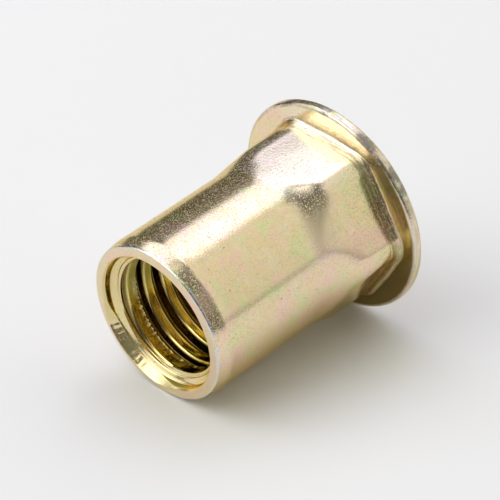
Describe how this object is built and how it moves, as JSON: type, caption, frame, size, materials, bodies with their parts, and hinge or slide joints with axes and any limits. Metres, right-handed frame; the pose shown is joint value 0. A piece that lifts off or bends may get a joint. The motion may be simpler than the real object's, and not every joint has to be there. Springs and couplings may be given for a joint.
{
  "type": "half-hexagonal blind rivet nut",
  "caption": "Open-ended threaded insert with a thin round flange, a half-hexagonal body and a round shank, in zinc-plated steel.",
  "frame": {"origin": "centre of the flange's outer face, which the part stands on", "axes": "+Z along the bore, from the flange to the threaded end; two flats of the hexagon are across X"},
  "size_m": [0.016, 0.016, 0.0175],
  "materials": {
    "plated_steel": "yellow chromated zinc plating, satin, with faint pink and green interference colours"
  },
  "bodies": {
    "root": {"rivet_nut": "plated_steel"}
  },
  "joints": []
}
